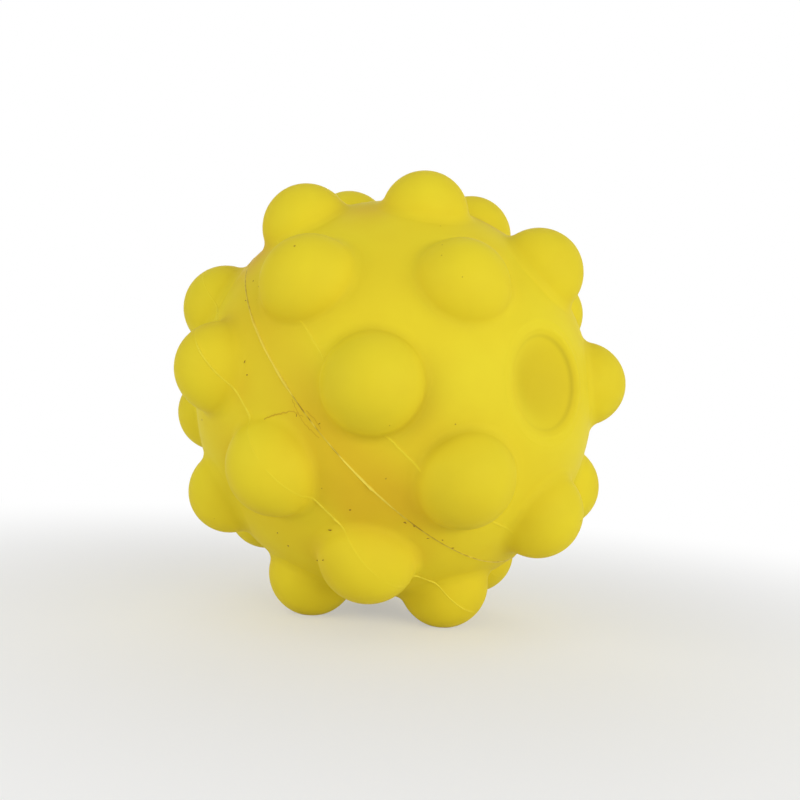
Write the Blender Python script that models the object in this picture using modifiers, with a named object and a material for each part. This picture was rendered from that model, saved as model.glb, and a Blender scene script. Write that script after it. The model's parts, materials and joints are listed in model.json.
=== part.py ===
# A pop fidget ball: a hollow silicone ball moulded as two half shells, bonded round its middle.
# 34 thin domes stand on it. Each one snaps through its root ring and back when a finger pushes it.
# The ball lies as it was photographed, on three of its domes, with one dome already pushed in.
# The origin is on the surface it stands on, straight under the ball's centre. +Z is up.

import itertools
import math

import bpy
import numpy as np
from mathutils import Matrix, Vector

# Driving sizes, in metres and degrees
BODY_RADIUS = 0.0290          # outside of the round body, between the domes
SHELL_WALL = 0.0024           # thickness of each half shell
DOME_RADIUS = 0.0063          # outside of a dome
DOME_WALL = 0.0015            # thickness of a dome
DOME_SINK = 0.0010            # how far a dome's centre lies under the body's surface
ROOT_CLEARANCE = 0.0003       # gap all round a dome's root, in its hole in the shell
RING_COUNT = 6                # domes in the ring round each pole
RING_COLATITUDE = 37.0        # that ring's angle from the pole
ROW_COUNT = 10                # domes in the row beside the seam
ROW_LATITUDE = 18.0           # that row's angle from the seam
SEAM_THICKNESS = 0.0008       # bond line between the half shells
SEAM_PROUD = 0.0003           # how far the bond line stands out from the body
BOND_CLEARANCE = 0.0003       # gap between the bond line and each half shell
REST_FLAT = 0.0003            # how far the three domes underneath are pressed flat
REST_LATITUDE = -41.0         # about where on the ball it rests: angle from the seam
REST_LONGITUDE = 150.0        # and the angle round the seam's axis
POLE_HEADING = -26.6          # which way the upper pole faces, from +X towards +Y
PUSHED_IN_DOME = "dome_upper_ring_3"

# How finely the round shapes are cut
SHELL_STEPS = 36
SHELL_ARC_SEGMENTS = 11
DOME_STEPS = 14
DOME_OUTER_SEGMENTS = 5
DOME_INNER_SEGMENTS = 3

# Worked out from the sizes above
DOME_CENTRE = BODY_RADIUS - DOME_SINK
INNER_RADIUS = BODY_RADIUS - SHELL_WALL
ROOT_DEPTH = SHELL_WALL - DOME_SINK
HALF_SEAM = SEAM_THICKNESS / 2


def clear_scene():
    for item in list(bpy.data.objects):
        bpy.data.objects.remove(item, do_unlink=True)


def new_collection(name):
    collection = bpy.data.collections.new(name)
    bpy.context.scene.collection.children.link(collection)
    return collection


def silicone(name, colour, roughness):
    material = bpy.data.materials.new(name)
    material.use_nodes = True
    shader = material.node_tree.nodes["Principled BSDF"]
    shader.inputs["Base Color"].default_value = (*colour, 1.0)
    shader.inputs["Roughness"].default_value = roughness
    shader.inputs["Metallic"].default_value = 0.0
    material.diffuse_color = (*colour, 1.0)
    return material


def arc(radius, first, last, segments):
    """Points (x, z) on a circle about the origin, at angles from +Z towards +X."""
    angles = [math.radians(first + (last - first) * i / segments) for i in range(segments + 1)]
    return [(radius * math.sin(a), radius * math.cos(a)) for a in angles]


def turned_mesh(name, profile, steps, material=None, closed=False):
    """Turn an (x, z) profile about the Z axis. A closed profile is a ring's section, clear of the axis."""
    mesh = bpy.data.meshes.new(name + "_profile")
    edges = [(i, i + 1) for i in range(len(profile) - 1)]
    if closed:
        edges.append((len(profile) - 1, 0))
    mesh.from_pydata([(max(x, 0.0), 0.0, z) for x, z in profile], edges, [])
    lathe = bpy.data.objects.new(name + "_lathe", mesh)
    bpy.context.scene.collection.objects.link(lathe)
    screw = lathe.modifiers.new("Turn", "SCREW")
    screw.axis = "Z"
    screw.steps = steps
    screw.render_steps = steps
    screw.use_merge_vertices = True
    screw.merge_threshold = 0.00001
    solid = bpy.data.meshes.new_from_object(lathe.evaluated_get(bpy.context.evaluated_depsgraph_get()))
    bpy.data.objects.remove(lathe, do_unlink=True)
    bpy.data.meshes.remove(mesh)
    solid.name = name
    solid.shade_smooth()
    solid.set_sharp_from_angle(angle=math.radians(40.0))
    if material:
        solid.materials.append(material)
    return solid


def half_shell_profile(side):
    """The upper half (side 1) or lower half (side -1) of the body, open where it meets the bond line."""
    edge = HALF_SEAM + BOND_CLEARANCE
    outer_end = 90.0 - math.degrees(math.asin(edge / BODY_RADIUS))
    inner_end = 90.0 - math.degrees(math.asin(edge / INNER_RADIUS))
    outer = arc(BODY_RADIUS, 0.0, outer_end, SHELL_ARC_SEGMENTS)
    inner = arc(INNER_RADIUS, inner_end, 0.0, SHELL_ARC_SEGMENTS)
    profile = outer + inner
    if side > 0:
        return profile
    return [(x, -z) for x, z in reversed(profile)]


def bond_profile():
    """The bond line's section: flat between the shells, with a rounded edge that stands proud."""
    bulge = [
        (BODY_RADIUS + SEAM_PROUD * math.cos(a), HALF_SEAM * math.sin(a))
        for a in (math.radians(angle) for angle in (90.0, 45.0, 0.0, -45.0, -90.0))
    ]
    return bulge + [(INNER_RADIUS, -HALF_SEAM), (INNER_RADIUS, HALF_SEAM)]


def dome_profile():
    """A dome about its own centre: a hemisphere with a straight root that reaches through the shell."""
    outer = arc(DOME_RADIUS, 0.0, 90.0, DOME_OUTER_SEGMENTS)
    inner_radius = DOME_RADIUS - DOME_WALL
    inner = arc(inner_radius, 90.0, 0.0, DOME_INNER_SEGMENTS)
    return outer + [(DOME_RADIUS, -ROOT_DEPTH), (inner_radius, -ROOT_DEPTH)] + inner


def direction(colatitude, longitude):
    c, a = math.radians(colatitude), math.radians(longitude)
    return Vector((math.sin(c) * math.cos(a), math.sin(c) * math.sin(a), math.cos(c)))


def dome_layout():
    """Every dome's name and its direction from the ball's centre, with the seam's axis as Z."""
    layout = {}
    for half, side in (("upper", 1), ("lower", -1)):
        flip = Vector((1, 1, side))
        layout[f"dome_{half}_pole"] = direction(0.0, 0.0) * flip
        for i in range(RING_COUNT):
            layout[f"dome_{half}_ring_{i + 1}"] = direction(RING_COLATITUDE, 360.0 * i / RING_COUNT) * flip
        for i in range(ROW_COUNT):
            layout[f"dome_{half}_row_{i + 1:02d}"] = direction(90.0 - ROW_LATITUDE, 360.0 * i / ROW_COUNT) * flip
    return layout


def resting_domes(layout):
    """The three domes it stands on: the only ones on their plane, nearest the side that faces down."""
    hint = np.array(direction(90.0 - REST_LATITUDE, REST_LONGITUDE))
    names = [name for name in layout if np.dot(layout[name], hint) > 0.5]
    best, best_turn = None, -1.0
    for trio in itertools.combinations(names, 3):
        a, b, c = (np.array(layout[name]) for name in trio)
        normal = np.cross(b - a, c - a)
        normal *= math.copysign(1.0, np.dot(normal, a)) / np.linalg.norm(normal)
        reach = np.dot(normal, a)
        others = [np.dot(normal, layout[name]) for name in layout if name not in trio]
        if max(others) < reach - 0.001 and np.dot(normal, hint) > best_turn:
            best, best_turn = (trio, normal, reach), np.dot(normal, hint)
    return best


def resting_pose(down, reach):
    """The ball's placing in the world: its rest side down, its upper pole turned to its heading."""
    up = -Vector(down)
    pole = Vector((0, 0, 1))
    level = (pole - up * pole.dot(up)).normalized()
    turned = Matrix((level, up.cross(level), up))
    heading = Matrix.Rotation(math.radians(POLE_HEADING), 3, "Z")
    height = reach * DOME_CENTRE + DOME_RADIUS - REST_FLAT
    return Matrix.Translation((0, 0, height)) @ (heading @ turned).to_4x4()


def place(name, mesh, collection, parent, location=(0, 0, 0), outward=None):
    piece = bpy.data.objects.new(name, mesh)
    collection.objects.link(piece)
    piece.parent = parent
    piece.location = location
    if outward is not None:
        piece.rotation_mode = "QUATERNION"
        piece.rotation_quaternion = outward.to_track_quat("Z", "Y")
    return piece


def hide_cutter(cutter):
    cutter.hide_render = True
    cutter.display_type = "WIRE"


def cut_boolean(piece, name):
    boolean = piece.modifiers.new(name, "BOOLEAN")
    boolean.operation = "DIFFERENCE"
    boolean.solver = "EXACT"
    return boolean


def make_hole_plugs(half, layout, ball):
    """A plug along the axis of each dome in one half, in a collection of their own."""
    plugs = new_collection(f"{half}_hole_cutters")
    plugs.hide_render = True
    radius = DOME_RADIUS + ROOT_CLEARANCE
    profile = [(0, DOME_RADIUS), (radius, DOME_RADIUS), (radius, -DOME_RADIUS), (0, -DOME_RADIUS)]
    mesh = turned_mesh(f"{half}_hole", profile, DOME_STEPS)
    for name, outward in layout.items():
        if f"_{half}_" in name:
            hide_cutter(place(name.replace("dome", "hole"), mesh, plugs, ball, outward * DOME_CENTRE, outward))
    return plugs


def make_shell(half, side, layout, collection, ball, material):
    """A half shell with a hole for the root of each of its domes."""
    mesh = turned_mesh(f"{half}_half_shell", half_shell_profile(side), SHELL_STEPS, material)
    shell = place(f"{half}_half_shell", mesh, collection, ball)
    boolean = cut_boolean(shell, "dome_holes")
    boolean.operand_type = "COLLECTION"
    boolean.collection = make_hole_plugs(half, layout, ball)
    return shell


def make_domes(layout, collection, ball, material):
    mesh = turned_mesh("dome", dome_profile(), DOME_STEPS, material)
    domes = {}
    for name, outward in layout.items():
        # A dome that is pushed in is the same dome, turned over about its root ring
        facing = -outward if name == PUSHED_IN_DOME else outward
        domes[name] = place(name, mesh, collection, ball, outward * DOME_CENTRE, facing)
    return domes


def make_floor_cutter(cutters):
    """A block under the floor, which presses the lowest domes flat."""
    size = 2 * BODY_RADIUS
    bpy.ops.mesh.primitive_cube_add(size=size, location=(0, 0, -size / 2))
    block = bpy.context.object
    block.name = "floor_block"
    for collection in list(block.users_collection):
        collection.objects.unlink(block)
    cutters.objects.link(block)
    hide_cutter(block)
    return block


def main():
    clear_scene()
    collection = new_collection("pop_fidget_ball")
    cutters = new_collection("floor_cutters")
    cutters.hide_render = True

    yellow = silicone("moulded_silicone", (0.78, 0.60, 0.035), 0.45)
    dome_yellow = silicone("dome_silicone", (0.80, 0.62, 0.035), 0.42)
    bond_yellow = silicone("silicone_bond", (0.76, 0.56, 0.03), 0.5)

    layout = dome_layout()
    resting, down, reach = resting_domes(layout)
    ball = bpy.data.objects.new("ball_centre", None)
    ball.empty_display_size = BODY_RADIUS
    collection.objects.link(ball)
    ball.matrix_world = resting_pose(down, reach)

    for half, side in (("upper", 1), ("lower", -1)):
        make_shell(half, side, layout, collection, ball, yellow)
    bond_mesh = turned_mesh("seam_bond", bond_profile(), 2 * SHELL_STEPS, bond_yellow, closed=True)
    place("seam_bond", bond_mesh, collection, ball)

    domes = make_domes(layout, collection, ball, dome_yellow)
    floor_block = make_floor_cutter(cutters)
    for name in resting:
        cut_boolean(domes[name], "press_flat").object = floor_block
    bpy.context.view_layer.update()
    print("stands on", ", ".join(resting))


main()
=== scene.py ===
import json
import math

import bpy
import numpy as np
from mathutils import Matrix, Vector, geometry, noise


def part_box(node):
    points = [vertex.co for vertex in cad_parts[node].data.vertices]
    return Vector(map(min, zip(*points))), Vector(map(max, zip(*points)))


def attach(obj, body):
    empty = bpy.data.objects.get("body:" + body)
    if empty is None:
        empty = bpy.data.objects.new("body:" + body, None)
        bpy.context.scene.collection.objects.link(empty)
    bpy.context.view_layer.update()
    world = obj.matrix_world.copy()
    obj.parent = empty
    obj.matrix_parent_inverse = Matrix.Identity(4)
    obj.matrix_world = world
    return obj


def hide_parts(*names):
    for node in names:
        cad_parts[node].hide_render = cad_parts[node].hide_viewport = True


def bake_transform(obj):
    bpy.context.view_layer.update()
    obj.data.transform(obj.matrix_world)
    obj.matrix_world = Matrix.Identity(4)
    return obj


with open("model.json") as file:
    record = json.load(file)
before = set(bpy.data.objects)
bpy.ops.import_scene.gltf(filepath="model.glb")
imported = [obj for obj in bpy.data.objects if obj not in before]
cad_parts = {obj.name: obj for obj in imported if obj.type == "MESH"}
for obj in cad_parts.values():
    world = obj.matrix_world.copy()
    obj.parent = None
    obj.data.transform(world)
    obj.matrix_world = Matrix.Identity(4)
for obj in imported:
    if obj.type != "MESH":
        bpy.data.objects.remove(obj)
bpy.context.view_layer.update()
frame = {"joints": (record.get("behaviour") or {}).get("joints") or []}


def mm(length):
    return length / 1000


ball = {
    "bodyRadius": mm(29.0),
    "domeRadius": mm(6.3),
    "domeTop": mm(34.3),        # from the ball's centre
    "shrink": 0.4,              # a lower dome's radius loses this share of what its top loses
    "softFillet": mm(2.9),      # where a dome runs into the body: on its soft side
    "crispFillet": mm(0.95),    # and on its crisp side
    "sag": mm(0.45),
    "sagFillet": mm(2.5),       # the soft fillet of a dome that sags
    "crispShare": 0.7,          # how much shorter the crisp side is than the soft one
    "patchRadius": mm(8.3),     # a dome's patch ends here, on the plain body
    "waviness": mm(0.05),       # moulded silicone is never quite round
    "waveLength": mm(9.0),
    "fineWaves": 0.4,           # size of the finer waves, as a share of the slow ones
    "segments": 72,
    # the domes aren't all equally tall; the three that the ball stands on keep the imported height
    "tops": {
        "lower_ring_3": mm(34.3), "lower_ring_4": mm(34.3), "upper_ring_6": mm(34.05),
        "upper_ring_5": mm(34.1), "upper_row_10": mm(34.5), "lower_row_06": mm(34.55),
        "lower_ring": mm(33.5), "upper_ring": mm(33.8), "pole": mm(34.5),
    },
    # a soft ball: a visible dome can sit a little off its packed axis (share of the axis, world x y z)
    "lean": {
        "upper_ring_3": (-0.027, 0.0, -0.027), "upper_ring_2": (0.004, 0.0, -0.012),
        "upper_row_02": (-0.004, 0.0, -0.012), "upper_row_03": (0.003, 0.0, -0.012),
        "upper_row_04": (-0.013, 0.0, -0.008), "lower_row_03": (-0.003, 0.0, 0.009),
    },
}

# the ball's own axes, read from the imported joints: each dome slides along its axis
seamLow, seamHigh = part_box("seam_bond")
ballCentre = np.array([(a + b) / 2 for a, b in zip(seamLow, seamHigh)])
domes = {}
for joint in frame["joints"]:
    pushedIn = joint["name"].startswith("pop_out")
    outward = np.array(joint["axis"], float) * (1 if pushedIn else -1)
    domes[joint["child"]] = {
        "node": "dome_" + joint["child"],
        "outward": outward / np.linalg.norm(outward),
        "pushedIn": pushedIn,
    }
poleAxis = domes["upper_pole"]["outward"].copy()
firstAxis = domes["upper_ring_1"]["outward"]
firstAxis = firstAxis - poleAxis * (firstAxis @ poleAxis)
firstAxis /= np.linalg.norm(firstAxis)
ballAxes = np.array([firstAxis, np.cross(poleAxis, firstAxis), poleAxis])  # rows: seam frame to world
for body, offset in ball["lean"].items():
    leaned = domes[body]["outward"] + np.array(offset)
    domes[body]["outward"] = leaned / np.linalg.norm(leaned)
print("ball centre", [round(v, 5) for v in ballCentre], "domes", len(domes))


def domeSphere(body):
    # radius and centre height of a dome's sphere
    top = next((t for key, t in ball["tops"].items() if key in body), ball["domeTop"])
    radius = ball["domeRadius"] - ball["shrink"] * max(0, ball["domeTop"] - top)
    return radius, top - radius


def wavy(points):
    # the slow waves of a soft moulding, the same for every piece, so that their edges still meet
    points = np.atleast_2d(points)
    slow, fine = ball["waveLength"], ball["waveLength"] * ball["fineWaves"]
    apart, share = Vector((7, 3, 5)), ball["fineWaves"]
    amounts = np.array([
        noise.noise(Vector(p / slow)) + share * noise.noise(Vector(p / fine) + apart) for p in points
    ])
    rays = points / np.linalg.norm(points, axis=1, keepdims=True)
    return points + rays * (amounts * ball["waviness"])[:, None]


def newMesh(name, points, faces, marks):
    # marks: painted shade, stains with some painted shade, grime and the flash's painted highlight at each
    # point, for the material
    mesh = bpy.data.meshes.new(name)
    mesh.from_pydata([tuple(p) for p in points], [], faces)
    mesh.update()
    mesh.shade_smooth()
    for label in ("crease", "stain", "grime", "thin"):
        attribute = mesh.attributes.new(label, "FLOAT", "POINT")
        values = marks.get(label, np.zeros(len(points)))
        attribute.data.foreach_set("value", np.asarray(values, np.float32))
    piece = bpy.data.objects.new(name, mesh)
    bpy.context.scene.collection.objects.link(piece)
    return piece


def axesOf(outward):
    # outward, sideways (level with the seam) and towards the pole, for a dome
    side = np.cross(poleAxis, outward)
    if np.linalg.norm(side) < 1e-3:
        side = ballAxes[1]
    side = side / np.linalg.norm(side)
    return outward, side, np.cross(outward, side)


# a dome sags a little towards one side, where its root is crisp; this way from it the root is soft (world)
softSide = {
    "upper_row_03": (-0.9, 0, 0.5), "upper_row_04": (0.6, 0, -0.8), "upper_row_02": (-0.4, 0, 0.9),
    "upper_ring_2": (0.5, 0, 0.85), "lower_row_04": (-0.3, 0, -0.7), "upper_ring_3": (-1.0, 0, -0.25),
    "lower_row_03": (-0.9, 0, -0.2),
}


def softness(body, around, side, up):
    # 1 on a dome's soft side, 0 on its crisp side, for an angle round the dome
    towards = np.array(softSide.get(body, (0, 0, 0)))
    softX, softY = towards @ side, towards @ up
    strength = math.hypot(softX, softY)
    share = 0.5 + 0.5 * (np.cos(around) * softY + np.sin(around) * softX) / max(1.0, strength)
    return share + ball["crispShare"] * min(1.0, strength) * share * (1 - share)


def filletCircle(domeR, centre, f):
    # a circle that touches the body and the dome from outside
    bodyR = ball["bodyRadius"]
    height = ((bodyR + f) ** 2 - (domeR + f) ** 2 + centre ** 2) / (2 * centre)
    return math.sqrt((bodyR + f) ** 2 - height ** 2), height


def outwardSection(body, softly):
    # a dome's section as (radius, height) from the ball's centre, apex to rim;
    # a dome that sags is also a little wider on its soft side
    domeR, centre = domeSphere(body)
    f = ball["softFillet"] if softly else ball["crispFillet"]
    if softly and body in softSide:
        domeR, centre, f = domeR + ball["sag"], centre - ball["sag"], ball["sagFillet"]
    fr, fh = filletCircle(domeR, centre, f)
    bodyR = ball["bodyRadius"]
    onDome = math.atan2(fr, fh - centre)
    section = [(domeR * math.sin(a), centre + domeR * math.cos(a)) for a in np.linspace(0, onDome, 20)]
    first = math.atan2(centre - fh, -fr) % (2 * math.pi)
    last = math.atan2(-fh, -fr) % (2 * math.pi)
    section += [(fr + f * math.cos(a), fh + f * math.sin(a)) for a in np.linspace(first, last, 10)[1:]]
    onBody, rim = math.asin(section[-1][0] / bodyR), math.asin(ball["patchRadius"] / bodyR)
    return section + [(bodyR * math.sin(a), bodyR * math.cos(a)) for a in np.linspace(onBody, rim, 3)[1:]]


# the pushed-in dome at rest, as photographed: a shallow bowl that runs softly into the body on one side
# and ends in a fold and a crest on the other
dish = {
    # radius and height on the crest side, then on the soft side (mm)
    "marks": [
        (0.0, 25.3, 0.0, 25.3), (1.6, 25.38, 1.6, 25.6), (3.1, 25.72, 3.1, 26.1),
        (4.3, 26.25, 4.3, 26.55), (5.15, 26.8, 5.3, 26.95), (5.87, 27.35, 6.25, 27.35),
        (6.35, 27.78, 6.65, 27.48), (6.65, 28.08, 6.9, 27.56), (6.95, 28.24, 7.15, 27.65),
        (7.25, 28.18, 7.4, 27.71), (7.6, 28.0, 7.7, 27.77),
    ],
    # it pops out in two parts that meet at the fold: each turns over its own stretch of the axis
    "foldMark": 5,
    "bowlStart": mm(28.6), "bowlShare": 0.643, "rimStart": mm(27.72),
    "still": mm(6.5), "stillFade": mm(1.5),     # no waves inside this radius, full waves this much further
    # painted shade in its bowl, most on its soft side, with a darker painted spot and a painted shadow line
    # in the fold opposite
    "shade": 0.62, "shadeReach": mm(5.6), "softShade": 0.4,
    "spot": 0.12, "spotReach": mm(3.2), "spotOff": mm(1.3),
    "line": 0.9, "lineAt": mm(6.15), "lineWidth": mm(0.24),
}


def dishSection(softly):
    rim, beyond = ball["patchRadius"], ball["patchRadius"] + mm(0.5)
    marks = [(mm(m[2]), mm(m[3])) if softly else (mm(m[0]), mm(m[1])) for m in dish["marks"]]
    marks = [(-marks[1][0], marks[1][1])] + marks
    marks += [(r, math.sqrt(ball["bodyRadius"] ** 2 - r ** 2)) for r in (rim, beyond)]
    section = [marks[1]]
    for four in zip(marks, marks[1:], marks[2:], marks[3:]):
        a, b, c, d = (np.array(p) for p in four)
        for t in (1 / 3, 2 / 3, 1.0):    # Catmull-Rom between the marks
            bend = (2 * a - 5 * b + 4 * c - d) * t ** 2 + (3 * b - a - 3 * c + d) * t ** 3
            section.append(tuple(0.5 * (2 * b + (c - a) * t + bend)))
    return section


def dishShade(points, body, side, up):
    across, along = points @ side, points @ up
    r = np.hypot(across, along)
    softly = softness(body, np.arctan2(across, along), side, up)
    offset = np.array(softSide[body]) * dish["spotOff"]
    fromSpot = np.hypot(across - offset @ side, along - offset @ up)
    far = r / dish["shadeReach"]
    bowl = dish["shade"] * np.exp(-far ** 4) * (1 - dish["softShade"] * softly * far ** 2)
    bowl += dish["spot"] * np.exp(-(fromSpot / dish["spotReach"]) ** 2)
    return bowl + dish["line"] * (1 - softly) * np.exp(-((r - dish["lineAt"]) / dish["lineWidth"]) ** 2)


# handling has darkened the silicone along the seam, more between the domes than on them;
# the two high patches, at 38 and 70 degrees over the seam, are painted shade in the gaps between the top
# domes
stainsAndShade = {
    # place round the seam and over it, reach that way (degrees), depth
    "places": [
        (95, 3, 20, 8, 0.85), (84, -7, 13, 7, 0.45), (95, -9, 10, 6, 0.45), (5, 3, 14, 8, 1.0),
        (68, 3, 14, 8, 0.6), (40, 2, 14, 7, 0.3), (9, 38, 9, 7, 0.6), (337, 70, 11, 7, 0.55),
        (66, -27, 15, 9, 0.5), (104, -26, 10, 7, 0.4), (49, -12, 8, 5, 0.35), (29, -10, 6, 5, 0.4),
        (115, -7, 5, 4, 0.35), (98, -22, 5, 5, 0.35), (91, 17, 6, 7, 0.3),
    ],
    "domeRise": mm(1.5), "lessOnDomes": 0.6,
}


def stainAndShadeAt(points):
    points = np.atleast_2d(points)
    reach = np.linalg.norm(points, axis=1)
    local = (points / reach[:, None]) @ ballAxes.T
    around = np.degrees(np.arctan2(local[:, 1], local[:, 0]))
    over = np.degrees(np.arcsin(np.clip(local[:, 2], -1, 1)))
    total = np.zeros(len(local))
    for lon, lat, wide, tall, depth in stainsAndShade["places"]:
        off = (around - lon + 180) % 360 - 180
        total += depth * np.exp(-(off / wide) ** 2 - ((over - lat) / tall) ** 2)
    raised = np.clip((reach - ball["bodyRadius"]) / stainsAndShade["domeRise"], 0, 1)
    return total * (1 - stainsAndShade["lessOnDomes"] * raised)


# small dents that handling has left in one dome: offset from its axis in world x and z, reach, depth (mm)
dents = {
    "upper_row_03": [
        (2.8, 3.3, 0.9, 0.09), (4.3, 2.1, 0.8, 0.09), (4.9, 0.4, 0.7, 0.07), (1.9, 1.0, 1.2, 0.06),
    ],
}


def dented(points, body, outward):
    top = outward * ball["domeTop"]
    for x, z, reach, depth in dents.get(body, []):
        away = np.hypot(points[:, 0] - top[0] - mm(x), points[:, 2] - top[2] - mm(z))
        raised = points @ outward > ball["bodyRadius"]
        points = points - outward * (mm(depth) * np.exp(-(away / mm(reach)) ** 2) * raised)[:, None]
    return points


# painted shade: less light gets into the fold round a dome, and least on its crisp side, so it is painted
# darker there
paintedFoldShade = {
    "depth": {
        "upper_row_03": 0.5, "upper_row_04": 0.3, "lower_row_04": 0.15, "lower_row_03": 0.15, "others": 0.4,
    },
    "at": {"lower_row_04": mm(7.5), "lower_row_03": mm(7.5), "others": mm(6.6)},    # from the dome's axis
    "height": mm(28.6), "reach": mm(1.1),
    "soft": 0.15, "crisp": 2.4,     # share of the depth all round, and what the crisp side has on top
    "overIt": 0.25,                 # how much deeper it is over the dome than beside it
}


def foldShadeAt(points):
    # how much painted shade a point takes from the fold round any dome
    points = np.atleast_2d(points)
    deepest = np.zeros(len(points))
    for body, dome in domes.items():
        if dome["pushedIn"]:
            continue
        outward, side, up = axesOf(dome["outward"])
        height, across, along = points @ outward, points @ side, points @ up
        reach = np.hypot(across, along)
        away = np.hypot(reach - paintedFoldShade["at"].get(body, paintedFoldShade["at"]["others"]), height - paintedFoldShade["height"])
        crisp = 1 - softness(body, np.arctan2(across, along), side, up)
        # 1 over the dome, -1 under it
        above = (points[:, 2] - height * outward[2]) / np.maximum(reach, mm(0.1))
        depth = paintedFoldShade["depth"].get(body, paintedFoldShade["depth"]["others"]) * (1 + paintedFoldShade["overIt"] * above)
        depth = depth * (paintedFoldShade["soft"] + paintedFoldShade["crisp"] * crisp ** 3)
        deepest = np.maximum(deepest, np.exp(-away / paintedFoldShade["reach"]) * depth)
    return deepest


# painted shade over a dome's cap, where its wall is thinner than the body's; set for each dome
paintedCapShade = {
    # depth of its shade, and how much more of it there is to the right and above
    "depth": {
        "upper_row_03": (0.2, -0.14, -0.06), "upper_row_04": (0.22, -0.2, 0.05),
        "lower_row_04": (0.15, -0.15, -0.2), "lower_row_03": (0.05, -0.1, -0.1),
        "lower_row_02": (0.15, -0.3, 0), "lower_row_01": (0.25, -0.35, 0), "lower_ring_3": (0.2, -0.15, 0),
        "upper_ring_4": (0.2, 0.1, -0.1), "upper_pole": (0.2, 0.1, 0.1), "upper_row_02": (0.1, 0, 0.05),
        "others": (0.1, 0, 0.1),
    },
    "from": mm(30.2), "fade": mm(2.4),      # it starts at this height and is full this much higher
}


def wallShade(points, body, outward):
    depth, right, over = paintedCapShade["depth"].get(body, paintedCapShade["depth"]["others"])
    height = points @ outward
    x = (points[:, 0] - height * outward[0]) / ball["domeRadius"]
    z = (points[:, 2] - height * outward[2]) / ball["domeRadius"]
    raised = np.clip((height - paintedCapShade["from"]) / paintedCapShade["fade"], 0, 1)
    return np.maximum(0, depth + right * x + over * z) * raised


# a raised line, such as flash or a bead of glue
ridge = {
    # its section: across in half widths, and height in full heights
    "section": [(-1.0, -0.35), (-0.55, 0.55), (0.0, 1.0), (0.55, 0.55), (1.0, -0.35)],
    "widthVaries": 0.35, "widthWave": mm(1.6),
    "heightVaries": 0.9, "heightWave": mm(2.7), "lowest": 0.2,
    "end": 0.15, "endRows": 3,      # it tapers to this share of its height over its last rows
}


def ridgeStrip(line, width, height, seed, closed=False, widths=None, heights=None):
    # a ridge along a list of (point, normal), one row of vertices for each
    shape = ridge["section"]
    points, faces, edge = [], [], []
    count, wide = len(line), len(shape)
    for i, (p, n) in enumerate(line):
        before = line[i - 1 if (closed or i) else 0][0]
        after = line[(i + 1) % count if closed else min(i + 1, count - 1)][0]
        along = after - before
        along = along / max(np.linalg.norm(along), 1e-12)
        n = n / np.linalg.norm(n)
        across = np.cross(n, along)
        widthNoise = noise.noise(Vector(p / ridge["widthWave"]) + Vector((seed, 0, 0)))
        heightNoise = noise.noise(Vector(p / ridge["heightWave"]) + Vector((0, seed, 0)))
        vary = 1 + ridge["widthVaries"] * widthNoise
        tall = max(ridge["lowest"], 1 + ridge["heightVaries"] * heightNoise)
        vary *= widths[i] if widths is not None else 1
        tall *= heights[i] if heights is not None else 1
        end = 1.0 if closed else min(1.0, ridge["end"] + min(i, count - 1 - i) / ridge["endRows"])
        for x, y in shape:
            rise = height * (tall * y * end if y > 0 else y)
            points.append(p + across * (width * vary * x / 2) + n * rise)
            edge.append(abs(x))
    for i in range(count if closed else count - 1):
        a, b = i * wide, ((i + 1) % count) * wide
        for k in range(wide - 1):
            faces.append((a + k, a + k + 1, b + k + 1, b + k))
    return points, faces, edge


# the flash where the mould's halves meet, a thin line along each row of domes
partingLines = {
    "upper": mm(6.05), "lower": -mm(6.85),      # their height over the seam
    "width": mm(0.32), "upperHeight": mm(0.07), "lowerHeight": mm(0.15),
    # share of the line left on a dome: on its side away from the next dome of the row, and towards it
    "onDome": {
        "lower_row_02": (0.1, 0.8), "lower_row_05": (0.7, 0.1), "lower": (0.15, 0.15), "upper": (0.0, 0.0),
    },
    "fadeFrom": mm(6.3), "fade": mm(0.9),       # it fades over this much of the dome's root
    "least": 0.02,                              # a lower share of the line is left out
    "shade": 0.35,                              # share of the painted fold shade and of the stains that it takes on; with less of them it shows paler
    "upperThin": 0.1, "lowerThin": 0.36,        # painted highlight: how much paler it is painted, for the light that comes through it
    "steps": 1441, "overlap": 0.004,            # points round the ball, and how far it runs under a patch
    "worn": (0.75, 1.3), "wornWave": mm(5),
}


def ridgeAcross(body, outward, side, up, level, sections):
    # the mould's parting plane cuts a dome in a line; returns its points with the surface's normals
    dense = []
    for section in sections:
        ends = np.array(section)
        steps = np.linspace(0, len(ends) - 1, 3 * len(ends) - 2)
        rows = np.arange(len(ends))
        dense.append(np.stack([np.interp(steps, rows, ends[:, k]) for k in (0, 1)], axis=1))
    halves = []
    for sign in (-1, 1):
        found = []
        for i in range(1, len(dense[0])):
            turn = math.pi / 2
            for _ in range(4):      # the section itself depends a little on the angle
                share = softness(body, sign * turn, side, up)
                mixed = dense[0] * share + dense[1] * (1 - share)
                r, h = mixed[i]
                c = (level - h * (outward @ poleAxis)) / (r * (up @ poleAxis))
                if abs(c) > 1:
                    break
                turn = math.acos(c)
            if abs(c) <= 1:
                slope = mixed[min(i + 1, len(mixed) - 1)] - mixed[i - 1]
                around = up * math.cos(turn) + side * math.sin(turn) * sign
                normal = outward * slope[0] - around * slope[1]
                found.append((outward * h + around * r, normal / np.linalg.norm(normal)))
        halves.append(found)
    return halves[0][::-1] + halves[1]


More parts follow.
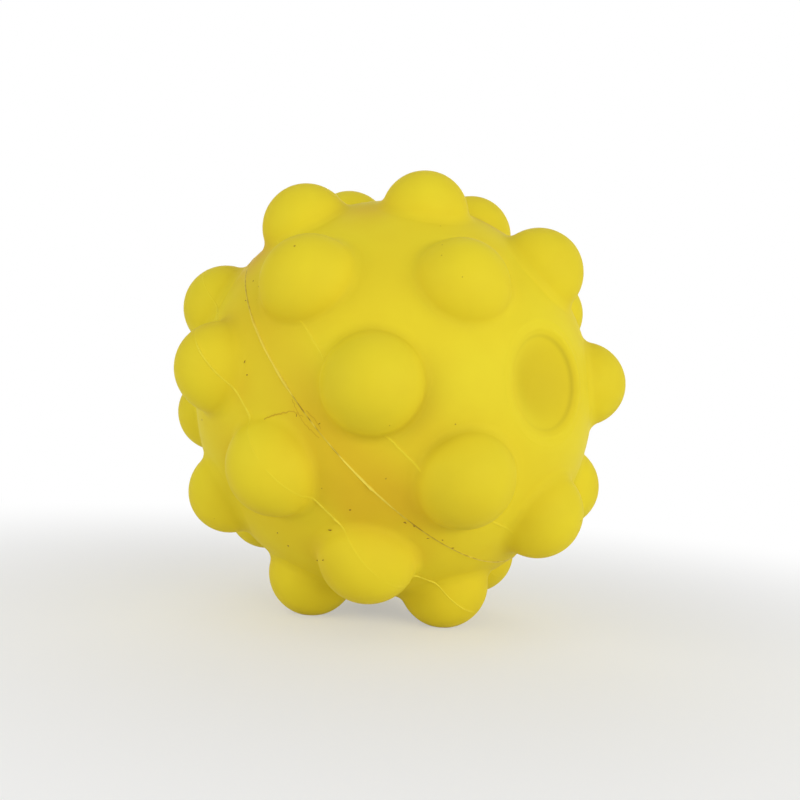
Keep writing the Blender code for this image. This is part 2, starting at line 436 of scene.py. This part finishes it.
def domeRidges(body, half, line, outward, side):
    # a parting line fades where it climbs a dome, and in the upper half it stops there
    shares = partingLines["onDome"].get(body, partingLines["onDome"][half])
    runs, run = [], []
    for p, normal in line:
        onDome = np.interp(p @ side, [-mm(1), mm(1)], shares)
        reach = np.linalg.norm(p - outward * (p @ outward))
        offDome = min(1, max(0, (reach - partingLines["fadeFrom"]) / partingLines["fade"]))
        height = onDome + (1 - onDome) * offDome
        if height > partingLines["least"]:
            run.append(((p, normal), height))
        elif run:
            runs.append(run)
            run = []
    runs.append(run)
    strips = []
    for run in runs:
        if len(run) > 3:
            places, tall = zip(*run)
            height = partingLines[half + "Height"]
            points, faces, _ = ridgeStrip(places, partingLines["width"], height, 5, heights=tall)
            strips.append((points, faces, np.repeat(tall, len(ridge["section"])).tolist()))
    return strips


def shifted(faces, base):
    return [tuple(base + v for v in f) for f in faces]


# where a pushed dome starts to turn inside out, and how far along that its top is
turnOver = {"start": mm(28.45), "topShare": 0.86}


def finishPatch(name, body, points, faces, marks, start, end):
    # keeps the points that its faces use, sets the piece on the ball and hides the dome it replaces
    used = sorted({v for f in faces for v in f})
    index = {v: i for i, v in enumerate(used)}
    world = [ballCentre + points[v] for v in used]
    for p in world:
        p[2] = max(p[2], 0.0)       # the domes that the ball rests on are pressed flat
    marks = {label: values[used] for label, values in marks.items()}
    piece = newMesh(name, world, [tuple(index[v] for v in f) for f in faces], marks)
    outward = domes[body]["outward"]
    start, end = ballCentre + outward * start, ballCentre + outward * end
    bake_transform(piece)
    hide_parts(domes[body]["node"])
    return piece


def domeForm(body, axes, sections):
    # a dome's plain form: its two sections mixed round its axis, as a fan and rings of faces
    outward, side, up = axes
    softSection, crispSection = sections
    n = ball["segments"]
    around = np.linspace(0, 2 * math.pi, n, endpoint=False)
    soft = softness(body, around, side, up)
    points, faces = [outward * (softSection[0][1] + crispSection[0][1]) / 2], []
    for (softR, softH), (crispR, crispH) in list(zip(softSection, crispSection))[1:]:
        for a, share in zip(around, soft):
            r, h = softR * share + crispR * (1 - share), softH * share + crispH * (1 - share)
            points.append(outward * h + (up * math.cos(a) + side * math.sin(a)) * r)
    for k in range(n):
        faces.append((0, 1 + (k + 1) % n, 1 + k))
    for ring in range(len(softSection) - 2):
        a = 1 + ring * n
        for k in range(n):
            faces.append((a + k, a + (k + 1) % n, a + n + (k + 1) % n, a + n + k))
    return np.array(points), faces


def patch(body, dome):
    axes = axesOf(dome["outward"])
    outward, side, up = axes
    half = body.split("_")[0]
    if dome["pushedIn"]:
        sections = dishSection(True), dishSection(False)
    else:
        sections = outwardSection(body, True), outwardSection(body, False)
    plain, faces = domeForm(body, axes, sections)
    points = dented(wavy(plain), body, outward)
    if dome["pushedIn"]:        # its two parts keep meeting only where no wave moves them
        reach = np.hypot(plain @ side, plain @ up)
        moves = np.clip((reach - dish["still"]) / dish["stillFade"], 0, 1)
        points = plain + (points - plain) * moves[:, None]
    points = list(points)
    ridges = [0] * len(points)
    if "_row_" in body:
        line = ridgeAcross(body, outward, side, up, partingLines[half], sections)
        line = [(wavy(p)[0], normal) for p, normal in line]
        for more, moreFaces, tall in domeRidges(body, half, line, outward, side):
            faces += shifted(moreFaces, len(points))
            points += more
            ridges += tall
    local, ridges = np.array(points), np.array(ridges)
    # painted shade in the pushed-in dome's bowl, and over a raised dome's cap
    shade = dishShade(local, body, side, up) if dome["pushedIn"] else wallShade(local, body, outward)
    # the flash takes on less painted shade and stain, and is painted paler: a painted highlight
    paler = np.where(ridges > 0, partingLines["shade"], 1.0)
    marks = {
        "crease": (foldShadeAt(local) + shade) * paler,
        "stain": stainAndShadeAt(local) * paler,
        "thin": ridges * partingLines[half + "Thin"],
    }
    name, top = "patch_" + body, (sections[0][0][1] + sections[1][0][1]) / 2
    if not dome["pushedIn"]:
        start = turnOver["start"]
        end = start + (top - start) / turnOver["topShare"]
        return [finishPatch(name, body, points, faces, marks, start, end)]
    inside = 1 + 3 * dish["foldMark"] * ball["segments"]       # every mark of the dish has three rings
    bowlStart, rimStart = dish["bowlStart"], dish["rimStart"]
    meet = mm(dish["marks"][dish["foldMark"]][1])
    bowlEnd = bowlStart - (bowlStart - top) / dish["bowlShare"]
    rimEnd = rimStart - (rimStart - meet) * (bowlStart - bowlEnd) / (bowlStart - meet)
    bowl = [f for f in faces if max(f) < inside]
    rim = [f for f in faces if max(f) >= inside]
    return [
        finishPatch(name, body, points, bowl, marks, bowlStart, bowlEnd),
        finishPatch(name + "_rim", body, points, rim, marks, rimStart, rimEnd),
    ]


# the plain body between the patches, one skin for each half, meshed flat on a stereographic disc
skins = {"edgePoints": 540, "spacing": 0.0165, "clear": 0.6}


def skin(half, sign):
    flip = np.array([1, 1, sign])
    holes, edges, flat = [], [], []

    def lift(x, y):
        s = x * x + y * y
        return np.array([2 * x, 2 * y, 1 - s]) / (1 + s)

    def addLoop(loop):
        first = len(flat)
        flat.extend(loop)
        edges.extend((first + i, first + (i + 1) % len(loop)) for i in range(len(loop)))

    turns = np.linspace(0, 2 * math.pi, skins["edgePoints"], endpoint=False)
    addLoop([(math.cos(a), math.sin(a)) for a in turns])
    angle = math.asin(ball["patchRadius"] / ball["bodyRadius"])
    for body, dome in domes.items():
        if not body.startswith(half):
            continue
        outward, side, up = axesOf(dome["outward"])
        holes.append(outward)
        rim = []
        for a in np.linspace(0, 2 * math.pi, ball["segments"], endpoint=False):
            p = outward * math.cos(angle) + (up * math.cos(a) + side * math.sin(a)) * math.sin(angle)
            q = (ballAxes @ p) * flip
            rim.append((q[0] / (1 + q[2]), q[1] / (1 + q[2])))
        addLoop(rim)
    spacing, rowStep = skins["spacing"], 0.866      # rows of a triangle grid
    rows, columns = int(1 / (spacing * rowStep)) + 2, int(1 / spacing) + 2
    for j in range(-rows, rows + 1):
        for i in range(-columns, columns + 1):
            x, y = (i + 0.5 * (j % 2)) * spacing, j * spacing * rowStep
            if x * x + y * y > (1 - 0.5 * spacing) ** 2:
                continue
            p = (lift(x, y) * flip) @ ballAxes
            clear = skins["clear"] * spacing * (2 / (1 + x * x + y * y))
            if max(h @ p for h in holes) < math.cos(angle + clear):
                flat.append((x, y))
    out = geometry.delaunay_2d_cdt([Vector(p) for p in flat], edges, [], 0, 1e-7)
    corners, faces = out[0], out[2]
    world = np.array([(lift(c[0], c[1]) * flip) @ ballAxes for c in corners])
    kept = []
    for f in faces:
        middle = world[list(f)].mean(axis=0)
        middle /= np.linalg.norm(middle)
        if max(h @ middle for h in holes) < math.cos(angle):
            kept.append(tuple(f) if sign > 0 else tuple(reversed(f)))
    used = sorted({v for f in kept for v in f})
    index = {v: i for i, v in enumerate(used)}
    points = wavy(world[used] * ball["bodyRadius"])
    # painted shade of the folds round the domes, and stains with some painted shade
    marks = {"crease": foldShadeAt(points), "stain": stainAndShadeAt(points)}
    kept = [tuple(index[v] for v in f) for f in kept]
    piece = newMesh(half + "_skin", [ballCentre + p for p in points], kept, marks)
    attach(piece, "shell")
    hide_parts(half + "_half_shell")
    return piece


def seamPoint(longitude, height=0.0):
    # a point of the body on the plane at that height over the seam, with its normal
    r = math.sqrt(ball["bodyRadius"] ** 2 - height ** 2)
    p = (ballAxes[0] * math.cos(longitude) + ballAxes[1] * math.sin(longitude)) * r + poleAxis * height
    return wavy(p)[0], p / np.linalg.norm(p)


# bonded seam: silicone glue that was pressed out and trimmed. Where it stands proud it is a bright bead,
# its pale colour partly a painted highlight; where it was trimmed flush, a thin dirty line is left
seam = {
    "width": mm(0.36), "height": mm(0.17), "steps": 1440,
    "flushWidth": 0.55, "proudWidth": 0.5,      # share of the width when flush, and what a full bead adds
    # degrees round the seam, share of the full height, dirt
    "bead": [
        (0, 0.3, 0.5), (14, 0.4, 0.5), (30, 0.4, 0.5), (36, 1.0, 0.0), (44, 1.3, 0.0), (58, 1.1, 0.0),
        (61, 0.5, 0.3), (64, 0.3, 0.8), (70, 0.25, 0.9), (75, 0.3, 0.8), (80, 0.35, 0.5),
        (82.5, 0.9, 0.0), (90, 1.15, 0.0), (91.4, 2.2, 0.0), (92.6, 0.8, 0.0), (98, 0.7, 0.2),
        (101, 0.35, 0.7), (106, 0.2, 0.9), (118, 0.2, 0.8), (140, 0.5, 0.3), (200, 0.3, 0.5),
        (250, 0.6, 0.2), (300, 0.3, 0.5), (330, 0.5, 0.3),
    ],
    "edgeStain": 0.6, "edgeDirt": 0.12, "crestDirt": 0.6,       # its edges are darker than its crest
    "patchy": (0.85, 1.2), "patchWave": mm(0.9),
}


def seamLine():
    angles = np.linspace(0, 360, seam["steps"], endpoint=False)
    around, heights, dirt = zip(*seam["bead"])
    tall = np.interp(angles, around, heights, period=360)
    dirty = np.interp(angles, around, dirt, period=360)
    line = [seamPoint(math.radians(a)) for a in angles]
    wide = seam["flushWidth"] + seam["proudWidth"] * tall
    points, faces, edge = ridgeStrip(
        line, seam["width"], seam["height"], 3, closed=True, widths=wide, heights=tall)
    grime = []
    for i, p in enumerate(points):
        patchy = seam["patchy"][0] + seam["patchy"][1] * noise.noise(Vector(p / seam["patchWave"]))
        depth = seam["edgeDirt"] * edge[i] + dirty[i // len(ridge["section"])]
        depth *= seam["crestDirt"] + (1 - seam["crestDirt"]) * edge[i]
        grime.append(min(1, max(0, depth * patchy)))
    marks = {"stain": [seam["edgeStain"] * e for e in edge], "grime": grime}
    piece = newMesh("seam_line", [ballCentre + p for p in points], faces, marks)
    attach(piece, "shell")
    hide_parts("seam_bond")
    return piece


def partingRidges():
    # the parting lines on the plain body, between the domes of each row
    points, faces, thin = [], [], []
    limit = math.cos(math.asin(ball["patchRadius"] / ball["bodyRadius"]) - partingLines["overlap"])
    samples = np.linspace(0, 2 * math.pi, partingLines["steps"])
    least, more = partingLines["worn"]
    for half in ("upper", "lower"):
        level, height = partingLines[half], partingLines[half + "Height"]
        rowAxes = [d["outward"] for b, d in domes.items() if b.startswith(half + "_row")]
        run = []

        def onDome(n):
            return max(x @ n for x in rowAxes) > limit

        start = next(i for i, a in enumerate(samples) if onDome(seamPoint(a, level)[1]))
        for a in samples[start:].tolist() + (samples[1:start + 1] + 2 * math.pi).tolist():
            p, n = seamPoint(a, level)
            if not onDome(n):
                run.append((p, n))
            elif run:
                worn = [least + more * noise.noise(Vector(q / partingLines["wornWave"])) for q, _ in run]
                strip = ridgeStrip(run, partingLines["width"], height, len(points) % 11, heights=worn)
                faces += shifted(strip[1], len(points))
                points += strip[0]
                thin += [partingLines[half + "Thin"]] * len(strip[0])
                run = []
    # the flash takes on less painted shade and stain, and is painted paler: a painted highlight
    local, paler = np.array(points), partingLines["shade"]
    marks = {"crease": foldShadeAt(local) * paler, "stain": stainAndShadeAt(local) * paler, "thin": thin}
    piece = newMesh("parting_ridges", [ballCentre + p for p in points], faces, marks)
    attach(piece, "shell")
    return piece


# lint and mould dirt caught along the seam, and fine cracks where the glue has let go
lint = {
    # place round the seam and over it (degrees), length and width (mm)
    "flecks": [
        (104.3, -1.0, 0.5, 0.3), (106.7, -0.2, 0.4, 0.25), (92.5, -8.3, 0.35, 0.25),
        (93.7, -17.0, 0.45, 0.3), (97.7, -21.7, 0.35, 0.3), (92.3, -35.6, 0.4, 0.3),
        (86.6, -34.4, 0.35, 0.25), (100.4, -29.5, 0.3, 0.25), (120.8, 0.4, 0.5, 0.25),
        (39.1, -35.4, 0.4, 0.3), (45.1, -7.0, 0.45, 0.22), (48.5, -8.2, 0.4, 0.2),
        (27.6, -0.6, 0.45, 0.2), (22.3, 2.9, 0.4, 0.2), (66.2, -2.1, 0.4, 0.15),
        (71.5, 1.4, 0.35, 0.15), (112.5, -0.8, 0.35, 0.18), (116.0, 0.9, 0.3, 0.2),
        (160, 1.2, 0.4, 0.2), (205, -1.5, 0.35, 0.2), (262, 0.8, 0.4, 0.25),
        (318, -1.0, 0.35, 0.2), (341, 1.8, 0.4, 0.2),
    ],
    "fleckRise": mm(0.03), "fleckSunk": mm(0.005),
    "fleckCorners": 9, "fleckTurn": 2.4, "fleckRagged": 0.35,
    # places along each crack, round the seam and over it (degrees)
    "cracks": [
        [(67.6, -0.9), (65.0, -2.2), (63.6, -4.4), (62.4, -6.8), (61.7, -8.6), (61.6, -9.6)],
        [(62.5, -0.7), (65.0, -1.2), (68.0, -1.7), (71.0, -1.5), (74.5, -0.9)],
        [(67.0, 0.6), (69.5, 1.1), (73.0, 0.9)],
    ],
    "crackWidth": mm(0.15), "crackHeight": mm(0.03), "crackDirt": 0.22, "crackShake": 0.25, "crackSteps": 9,
}


def onSurface(around, over):
    # the point of the surface at a place given in degrees round the seam and over it
    around, over = math.radians(around), math.radians(over)
    ray = np.array([math.cos(around) * math.cos(over), math.sin(around) * math.cos(over), math.sin(over)])
    ray = ray @ ballAxes
    body = max(domes, key=lambda b: domes[b]["outward"] @ ray)
    outward, side, up = axesOf(domes[body]["outward"])
    share = softness(body, np.arctan2(ray @ side, ray @ up), side, up)
    tilt = math.acos(min(1.0, outward @ ray))
    reach = 0.0
    for softly, part in ((True, share), (False, 1 - share)):
        section = dishSection(softly) if domes[body]["pushedIn"] else outwardSection(body, softly)
        tilts = [math.atan2(r, h) for r, h in section]
        reach += part * np.interp(tilt, tilts, [math.hypot(r, h) for r, h in section])
    if tilt > math.asin(ball["patchRadius"] / ball["bodyRadius"]):
        reach = ball["bodyRadius"]
    return wavy(ray * reach)[0], ray


def lintPiece():
    points, faces, grime = [], [], []
    for i, (around, over, long, wide) in enumerate(lint["flecks"]):
        middle, ray = onSurface(around, over)
        turn = lint["fleckTurn"] * i
        side = np.cross(poleAxis, ray)
        side /= np.linalg.norm(side)
        along = side * math.cos(turn) + np.cross(ray, side) * math.sin(turn)
        across = np.cross(ray, along)
        base, corners = len(points), lint["fleckCorners"]
        points.append(middle + ray * lint["fleckRise"])
        for k in range(corners):
            a = 2 * math.pi * k / corners
            reach = 0.5 + lint["fleckRagged"] * noise.noise(Vector((1.7 * i, 2.3 * k, 0.5)))
            p = middle + (along * math.cos(a) * mm(long) + across * math.sin(a) * mm(wide)) * reach
            points.append(p / np.linalg.norm(p) * (np.linalg.norm(middle) - lint["fleckSunk"]))
            faces.append((base, base + 1 + k, base + 1 + (k + 1) % corners))
        grime += [1.0] * (corners + 1)
    for i, crack in enumerate(lint["cracks"]):
        line = []
        for (a0, b0), (a1, b1) in zip(crack, crack[1:]):
            for t in np.linspace(0, 1, lint["crackSteps"])[:-1]:
                a, b = a0 + (a1 - a0) * t, b0 + (b1 - b0) * t
                shake = lint["crackShake"] * noise.noise(Vector((3 * i, a, 9 * b)))
                line.append(onSurface(a + shake, b - shake))
        more, moreFaces, _ = ridgeStrip(line, lint["crackWidth"], lint["crackHeight"], seed=i)
        faces += shifted(moreFaces, len(points))
        points += more
        grime += [lint["crackDirt"]] * len(more)
    marks = {"stain": [1.0] * len(points), "grime": grime}
    piece = newMesh("lint_flecks", [ballCentre + p for p in points], faces, marks)
    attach(piece, "shell")
    return piece


def linear(hexColour):
    values = [int(hexColour[i:i + 2], 16) / 255 for i in (0, 2, 4)]
    return tuple(v / 12.92 if v <= 0.04045 else ((v + 0.055) / 1.055) ** 2.4 for v in values) + (1.0,)


def addNode(tree, kind, settings=None, links=None):
    # one node, its settings by name, and its inputs: a value, or a (node, output) pair to link
    node = tree.nodes.new(kind)
    for key, value in (settings or {}).items():
        setattr(node, key, value)
    for key, value in (links or {}).items():
        if isinstance(value, tuple) and isinstance(value[0], bpy.types.Node):
            tree.links.new(value[0].outputs[value[1]], node.inputs[key])
        else:
            node.inputs[key].default_value = value
    return node


silicone = {
    "yellow": "ebd831",        # the dye all through; the sheen over it makes it look paler
    "worn": "ddb92b",          # where handling has darkened it, and painted shade between the domes
    "flash": "f5e957",         # painted highlight: the thin ridge left where the mould parts lets more light through, so it is painted paler
    "shade": "e4dfe4",         # painted shade: multiplies the yellow in a fold, over a dome's thin cap and in the pushed-in dome's bowl
    "glue": "f7e65c",          # the bond's glue is undyed and milky over the yellow; its paleness is partly a painted highlight on the bead
    "dust": "a07622",          # lint and mould dirt that silicone picks up
    "roughness": 0.56, "glueRoughness": 0.28, "roughnessVaries": 0.05,
    "ior": 1.41,
    "specular": 0.07,          # the fine grain scatters much of the sheen
    "drift": mm(11), "driftDepth": 0.2,     # slow mottling of the dye
    # the blasted mould's grit is about 0.05 mm; the grain is drawn coarser, so that it shows
    "grain": mm(0.22), "grainDepth": mm(0.03), "grainStrength": 0.12,
    # dust: one cell in five holds a fleck, up to this share of the cell's size, bent out of round
    "dustSpacing": mm(2.6), "dustFrom": 0.8, "dustSize": 0.075, "dustEdge": 0.02, "dustDepth": 0.7,
    "dustBend": mm(0.5),
}


def mouldedSilicone(name, yellow, roughness):
    # platinum-cured silicone from a finely blasted mould: a soft satin sheen that never mirrors, and one
    # colour all through. The bond's glue is the same stuff cured in the open, so it is glossier
    material = bpy.data.materials.new(name)
    material.use_nodes = True
    tree = material.node_tree
    shader = tree.nodes["Principled BSDF"]
    place = addNode(tree, "ShaderNodeTexCoord")
    # painted shade of the folds, the domes' caps and the bowl
    crease = addNode(tree, "ShaderNodeAttribute", {"attribute_name": "crease"})
    stain = addNode(tree, "ShaderNodeAttribute", {"attribute_name": "stain"})
    grime = addNode(tree, "ShaderNodeAttribute", {"attribute_name": "grime"})
    thin = addNode(tree, "ShaderNodeAttribute", {"attribute_name": "thin"})

    # colour: the dye with its mottle and stains, painted shade in the folds, caps and bowl, a painted
    # highlight on the flash
    drift = addNode(tree, "ShaderNodeTexNoise", {}, {
        "Vector": (place, "Object"), "Scale": 1 / silicone["drift"], "Detail": 3.0})
    driftAmount = addNode(tree, "ShaderNodeMapRange", {}, {
        "Value": (drift, "Fac"), "From Min": 0.35, "From Max": 0.65,
        "To Min": 0.0, "To Max": silicone["driftDepth"]})
    # stains, painted shade between the domes and the dye's mottle, mixed towards the darker yellow
    wornAndShadedAmount = addNode(tree, "ShaderNodeMath", {"operation": "ADD", "use_clamp": True}, {
        0: (stain, "Fac"), 1: (driftAmount, "Result")})
    stainedAndShaded = addNode(tree, "ShaderNodeMix", {"data_type": "RGBA"}, {
        0: (wornAndShadedAmount, 0), 6: linear(yellow), 7: linear(silicone["worn"])})
    # the painted shade darkens the colour by multiplying it
    shaded = addNode(tree, "ShaderNodeMix", {"data_type": "RGBA", "blend_type": "MULTIPLY"}, {
        0: (crease, "Fac"), 6: (stainedAndShaded, 2), 7: linear(silicone["shade"])})
    # painted highlight: the flash is mixed towards a paler yellow
    body = addNode(tree, "ShaderNodeMix", {"data_type": "RGBA"}, {
        0: (thin, "Fac"), 6: (shaded, 2), 7: linear(silicone["flash"])})

    # dust flecks: the cores of widely spaced cells
    bend = addNode(tree, "ShaderNodeTexNoise", {}, {
        "Vector": (place, "Object"), "Scale": 1 / silicone["dustBend"], "Detail": 2.0})
    bent = addNode(tree, "ShaderNodeVectorMath", {"operation": "MULTIPLY_ADD"}, {
        0: (bend, "Color"), 1: (silicone["dustBend"],) * 3, 2: (place, "Object")})
    cells = addNode(tree, "ShaderNodeTexVoronoi", {"feature": "F1"}, {
        "Vector": (bent, 0), "Scale": 1 / silicone["dustSpacing"], "Randomness": 1.0})
    size = addNode(tree, "ShaderNodeSeparateColor", {}, {0: (cells, "Color")})
    reach = addNode(tree, "ShaderNodeMapRange", {}, {
        "Value": (size, 0), "From Min": silicone["dustFrom"], "From Max": 1.0,
        "To Min": 0.0, "To Max": silicone["dustSize"]})
    inside = addNode(tree, "ShaderNodeMath", {"operation": "SUBTRACT"}, {
        0: (reach, "Result"), 1: (cells, "Distance")})
    fleck = addNode(tree, "ShaderNodeMapRange", {}, {
        "Value": (inside, 0), "From Min": 0.0, "From Max": silicone["dustEdge"],
        "To Min": 0.0, "To Max": silicone["dustDepth"]})
    dirt = addNode(tree, "ShaderNodeMath", {"operation": "MAXIMUM"}, {
        0: (fleck, "Result"), 1: (grime, "Fac")})
    colour = addNode(tree, "ShaderNodeMix", {"data_type": "RGBA"}, {
        0: (dirt, 0), 6: (body, 2), 7: linear(silicone["dust"])})
    tree.links.new(colour.outputs[2], shader.inputs["Base Color"])

    # finish: a satin that varies a little, with the mould's grain
    shine = addNode(tree, "ShaderNodeMapRange", {}, {
        "Value": (drift, "Fac"), "From Min": 0.3, "From Max": 0.7,
        "To Min": roughness - silicone["roughnessVaries"],
        "To Max": roughness + silicone["roughnessVaries"]})
    tree.links.new(shine.outputs["Result"], shader.inputs["Roughness"])
    grain = addNode(tree, "ShaderNodeTexNoise", {}, {
        "Vector": (place, "Object"), "Scale": 1 / silicone["grain"], "Detail": 2.0})
    bump = addNode(tree, "ShaderNodeBump", {}, {
        "Height": (grain, "Fac"),
        "Strength": silicone["grainStrength"], "Distance": silicone["grainDepth"]})
    tree.links.new(bump.outputs["Normal"], shader.inputs["Normal"])
    shader.inputs["IOR"].default_value = silicone["ior"]
    shader.inputs["Specular IOR Level"].default_value = silicone["specular"]
    return material


camera = {
    "distance": mm(143.6),     # about five body radii: the photograph is a close-up
    "lens": 43.24,
    "elevation": -0.66,        # degrees; the camera is level with the ball
    "roll": 3.29,
    "shiftX": 0.00725,
    "shiftY": -0.00225,
}


def makeCamera():
    data = bpy.data.cameras.new("photo_camera")
    data.sensor_width = 36.0
    data.lens = camera["lens"]
    data.shift_x, data.shift_y = camera["shiftX"], camera["shiftY"]
    data.clip_start = 0.01
    viewer = bpy.data.objects.new("photo_camera", data)
    bpy.context.scene.collection.objects.link(viewer)
    tilt = math.radians(camera["elevation"])
    away = Vector((0, -math.cos(tilt), math.sin(tilt)))
    viewer.location = Vector(ballCentre) + away * camera["distance"]
    viewer.rotation_mode = "QUATERNION"
    roll = Matrix.Rotation(math.radians(camera["roll"]), 3, "Z").to_quaternion()
    viewer.rotation_quaternion = away.to_track_quat("Z", "Y") @ roll
    bpy.context.scene.camera = viewer


# pale paper floor that turns to plain white some way behind and beside the ball, so that no horizon shows
floor = {
    "reach": 2.0, "paper": "f0f0ee", "roughness": 0.9,
    "fadeFrom": 0.035, "fadeTo": 0.15, "whiteNear": 0.4,
}

studio = {
    # the room is darker near the horizon, so that the ball's rims keep their colour
    "low": 0.15, "high": 0.5, "lowUpTo": 0.1, "highFrom": 0.5,
    "boxSize": 0.4, "boxDistance": 0.55,
    # round softboxes: angle round the ball from the camera and over the horizon (degrees), power (W)
    "softboxes": {
        "key_softbox": (28, 8, 1.03), "right_softbox": (60, 10, 0.76),
        "left_softbox": (-60, 10, 0.98), "back_softbox": (180, 12, 0.7),
    },
}


def seenDirectly(tree):
    # 1 where the camera looks, also in a mirror or through glass
    path = addNode(tree, "ShaderNodeLightPath")
    seen = addNode(tree, "ShaderNodeMath", {"operation": "ADD", "use_clamp": True}, {
        0: (path, "Is Camera Ray"), 1: (path, "Is Glossy Ray")})
    return addNode(tree, "ShaderNodeMath", {"operation": "ADD", "use_clamp": True}, {
        0: (seen, 0), 1: (path, "Is Transmission Ray")})


def makeFloor():
    mesh = bpy.data.meshes.new("pale_floor")
    r = floor["reach"]
    mesh.from_pydata([(-r, -r, 0), (r, -r, 0), (r, r, 0), (-r, r, 0)], [], [(0, 1, 2, 3)])
    piece = bpy.data.objects.new("pale_floor", mesh)
    bpy.context.scene.collection.objects.link(piece)
    material = bpy.data.materials.new("pale_paper")
    material.use_nodes = True
    tree = material.node_tree
    shader = tree.nodes["Principled BSDF"]
    shader.inputs["Base Color"].default_value = linear(floor["paper"])
    shader.inputs["Roughness"].default_value = floor["roughness"]
    place = addNode(tree, "ShaderNodeTexCoord")
    far = addNode(tree, "ShaderNodeVectorMath", {"operation": "LENGTH"}, {0: (place, "Object")})
    fade = addNode(tree, "ShaderNodeMapRange", {"interpolation_type": "SMOOTHSTEP"}, {
        "Value": (far, "Value"), "From Min": floor["fadeFrom"], "From Max": floor["fadeTo"],
        "To Min": floor["whiteNear"]})
    seen = seenDirectly(tree)
    amount = addNode(tree, "ShaderNodeMath", {"operation": "MULTIPLY"}, {0: (fade, "Result"), 1: (seen, 0)})
    white = addNode(tree, "ShaderNodeEmission", {}, {"Strength": 1.0})
    mix = addNode(tree, "ShaderNodeMixShader", {}, {0: (amount, 0), 1: (shader, 0), 2: (white, 0)})
    tree.links.new(mix.outputs[0], tree.nodes["Material Output"].inputs["Surface"])
    mesh.materials.append(material)


def makeStudio():
    world = bpy.data.worlds.new("studio")
    bpy.context.scene.world = world
    world.use_nodes = True
    tree = world.node_tree
    tree.nodes.clear()
    seen = seenDirectly(tree)
    way = addNode(tree, "ShaderNodeTexCoord")
    height = addNode(tree, "ShaderNodeSeparateXYZ", {}, {0: (way, "Generated")})
    glow = addNode(tree, "ShaderNodeMapRange", {"interpolation_type": "SMOOTHSTEP"}, {
        "Value": (height, "Z"), "From Min": studio["lowUpTo"], "From Max": studio["highFrom"],
        "To Min": studio["low"], "To Max": studio["high"]})
    soft = addNode(tree, "ShaderNodeBackground", {}, {"Color": (1, 1, 1, 1), "Strength": (glow, "Result")})
    white = addNode(tree, "ShaderNodeBackground", {}, {"Color": (1, 1, 1, 1), "Strength": 1.0})
    mix = addNode(tree, "ShaderNodeMixShader", {}, {0: (seen, 0), 1: (soft, 0), 2: (white, 0)})
    addNode(tree, "ShaderNodeOutputWorld", {}, {"Surface": (mix, 0)})
    for name, (around, over, power) in studio["softboxes"].items():
        around, over = math.radians(around), math.radians(over)
        level = math.cos(over)
        way = Vector((math.sin(around) * level, -math.cos(around) * level, math.sin(over)))
        data = bpy.data.lights.new(name, "AREA")
        data.shape = "DISK"
        data.size = studio["boxSize"]
        data.energy = power
        lamp = bpy.data.objects.new(name, data)
        bpy.context.scene.collection.objects.link(lamp)
        lamp.location = Vector(ballCentre) + way * studio["boxDistance"]
        lamp.rotation_mode = "QUATERNION"
        lamp.rotation_quaternion = way.to_track_quat("Z", "Y")


makeCamera()
makeFloor()
makeStudio()
print("stage ready")
bodyFinish = mouldedSilicone("moulded_silicone", silicone["yellow"], silicone["roughness"])
glueFinish = mouldedSilicone("cured_silicone_glue", silicone["glue"], silicone["glueRoughness"])
pieces = [skin("upper", 1), skin("lower", -1), partingRidges()]
print("skins ready")
pieces += [piece for body, dome in domes.items() for piece in patch(body, dome)]
print("patches ready")
for piece in pieces:
    piece.data.materials.append(bodyFinish)
for piece in (seamLine(), lintPiece()):
    piece.data.materials.append(glueFinish)
print("seam ready")
bpy.context.scene.view_settings.view_transform = "Standard"
